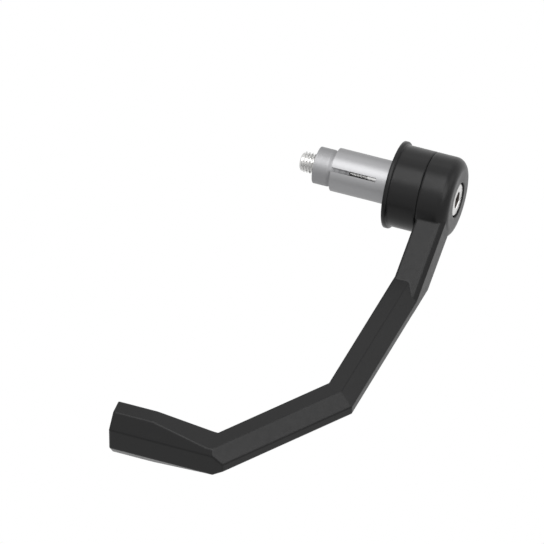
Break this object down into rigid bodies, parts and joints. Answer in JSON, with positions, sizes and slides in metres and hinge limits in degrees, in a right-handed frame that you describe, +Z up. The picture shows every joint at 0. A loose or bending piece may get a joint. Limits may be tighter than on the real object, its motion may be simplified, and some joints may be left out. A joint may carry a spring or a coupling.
{
  "type": "clutch lever guard",
  "caption": "Faceted arm with a round bolted head that fixes to a handlebar's end and bends around the free end of a lever to shield it from being pressed.",
  "frame": {"origin": "on the handlebar's axis at the plane of the bar's end, where the spacer seats", "axes": "+X along the bar outwards to the bolt's head, -Y ahead to the lever's side, +Z up; the arm's level part lies in a plane of constant Z"},
  "size_m": [0.0892, 0.1617, 0.046],
  "materials": {
    "black_nylon": "satin moulded glass-filled nylon",
    "black_collar": "satin",
    "stainless_bolt": "bright machined",
    "sleeve_alloy": "plain machined",
    "nut_alloy": "plain machined"
  },
  "bodies": {
    "root": {"guard_arm": "black_nylon", "bar_end_spacer": "black_collar", "mounting_bolt": "stainless_bolt", "expander_sleeve": "sleeve_alloy", "wedge_nut": "nut_alloy"}
  },
  "joints": []
}
